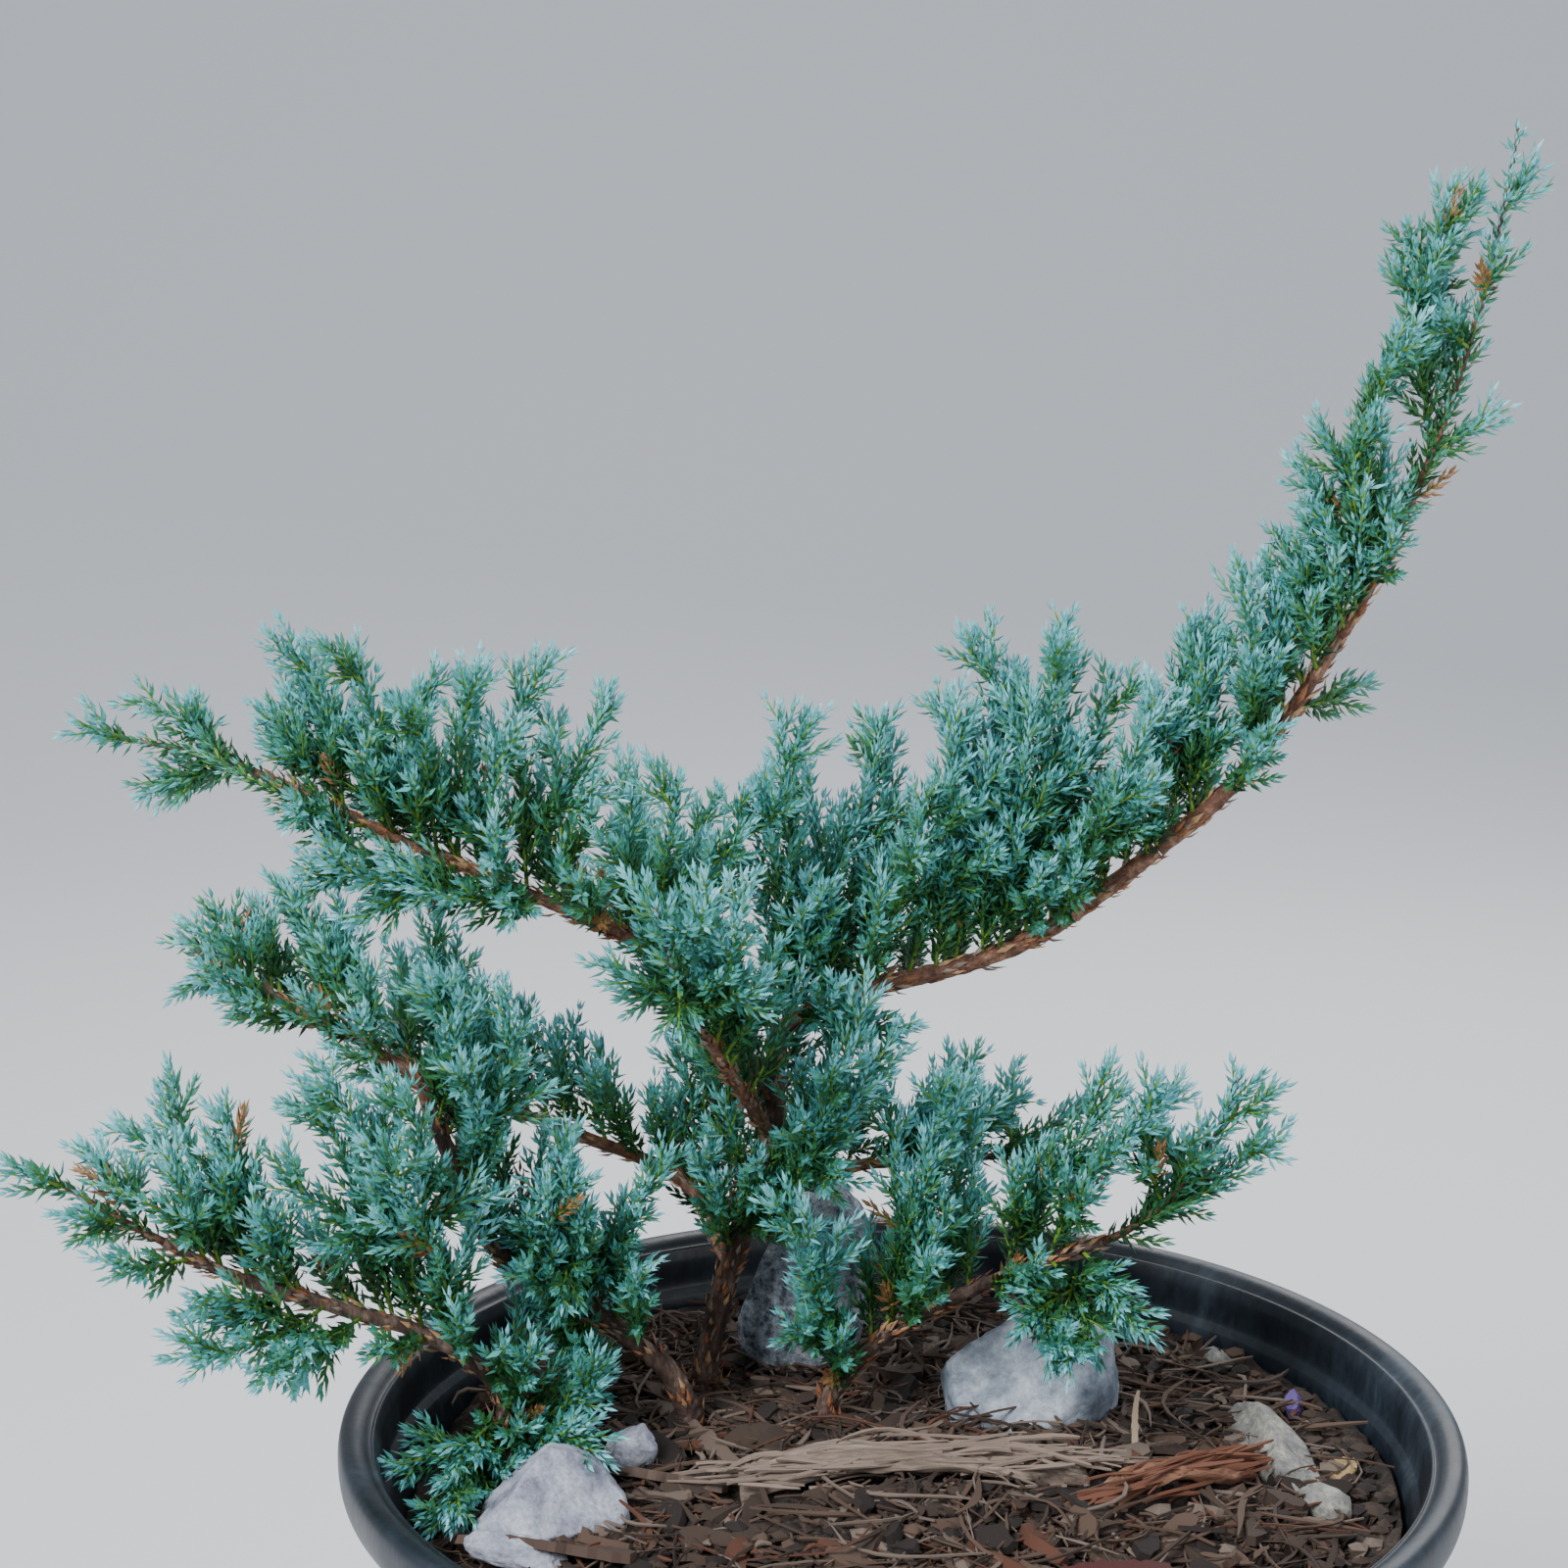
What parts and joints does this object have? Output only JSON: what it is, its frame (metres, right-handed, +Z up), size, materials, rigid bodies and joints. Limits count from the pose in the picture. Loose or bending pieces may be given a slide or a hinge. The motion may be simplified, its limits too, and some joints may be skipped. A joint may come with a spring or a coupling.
{
  "type": "blue chip juniper shrub in a nursery pot",
  "caption": "Low spreading juniper shrub with blue-green needle sprays and a long arching bough, growing in a round black nursery pot of potting mix with mulch and stones.",
  "frame": {"origin": "centre of the pot's flat underside", "axes": "+Z up; +X to the side that the long bough arches to; +Y to the back, away from the viewer of the picture"},
  "size_m": [0.3757, 0.2946, 0.558],
  "materials": {
    "pot_plastic": "satin, with fine scuffs and dust",
    "potting_mix": "coarse, dark and moist",
    "stone": "rough broken faces",
    "mulch": "weathered fibrous bark",
    "bark": "rough peeling bark",
    "needles": "waxy blue-green bloom"
  },
  "bodies": {
    "root": {"pot": "pot_plastic", "soil": "potting_mix", "granite_stone": "stone", "quartz_stone": "stone", "front_stone": "stone", "wedge_stone": "stone", "mulch_strip": "mulch", "mulch_splinter": "mulch", "trunk": "bark", "long_bough_inner": "bark", "long_bough_outer": "bark", "upper_left_bough": "bark", "front_bough": "bark", "mid_left_stem": "bark", "mid_left_bough": "bark", "low_left_stem": "bark", "centre_stem": "bark", "low_right_stem": "bark", "back_bough": "bark", "back_left_bough": "bark", "back_right_bough": "bark", "long_bough_leader": "needles", "long_spray_10": "needles", "long_spray_9": "needles", "long_spray_8": "needles", "long_spray_7": "needles", "long_spray_6": "needles", "long_spray_5": "needles", "long_spray_4": "needles", "long_spray_3": "needles", "long_spray_2": "needles", "long_spray_1": "needles", "upper_left_leader": "needles", "upper_left_spray_1": "needles", "upper_left_spray_2": "needles", "upper_left_spray_3": "needles", "upper_left_spray_4": "needles", "upper_left_low_spray": "needles", "upper_centre_mass": "needles", "mid_left_leader": "needles", "mid_left_spray": "needles", "mid_left_fan": "needles", "low_left_leader": "needles", "low_left_spray": "needles", "low_left_under": "needles", "low_left_mass": "needles", "centre_mass": "needles", "front_mass": "needles", "low_right_leader": "needles", "low_right_spray_1": "needles", "low_right_spray_2": "needles", "trunk_side_spray": "needles", "low_right_under": "needles", "foot_spray_left": "needles", "foot_spray_right": "needles", "back_mass": "needles", "back_left_mass": "needles", "back_right_mass": "needles"}
  },
  "joints": []
}
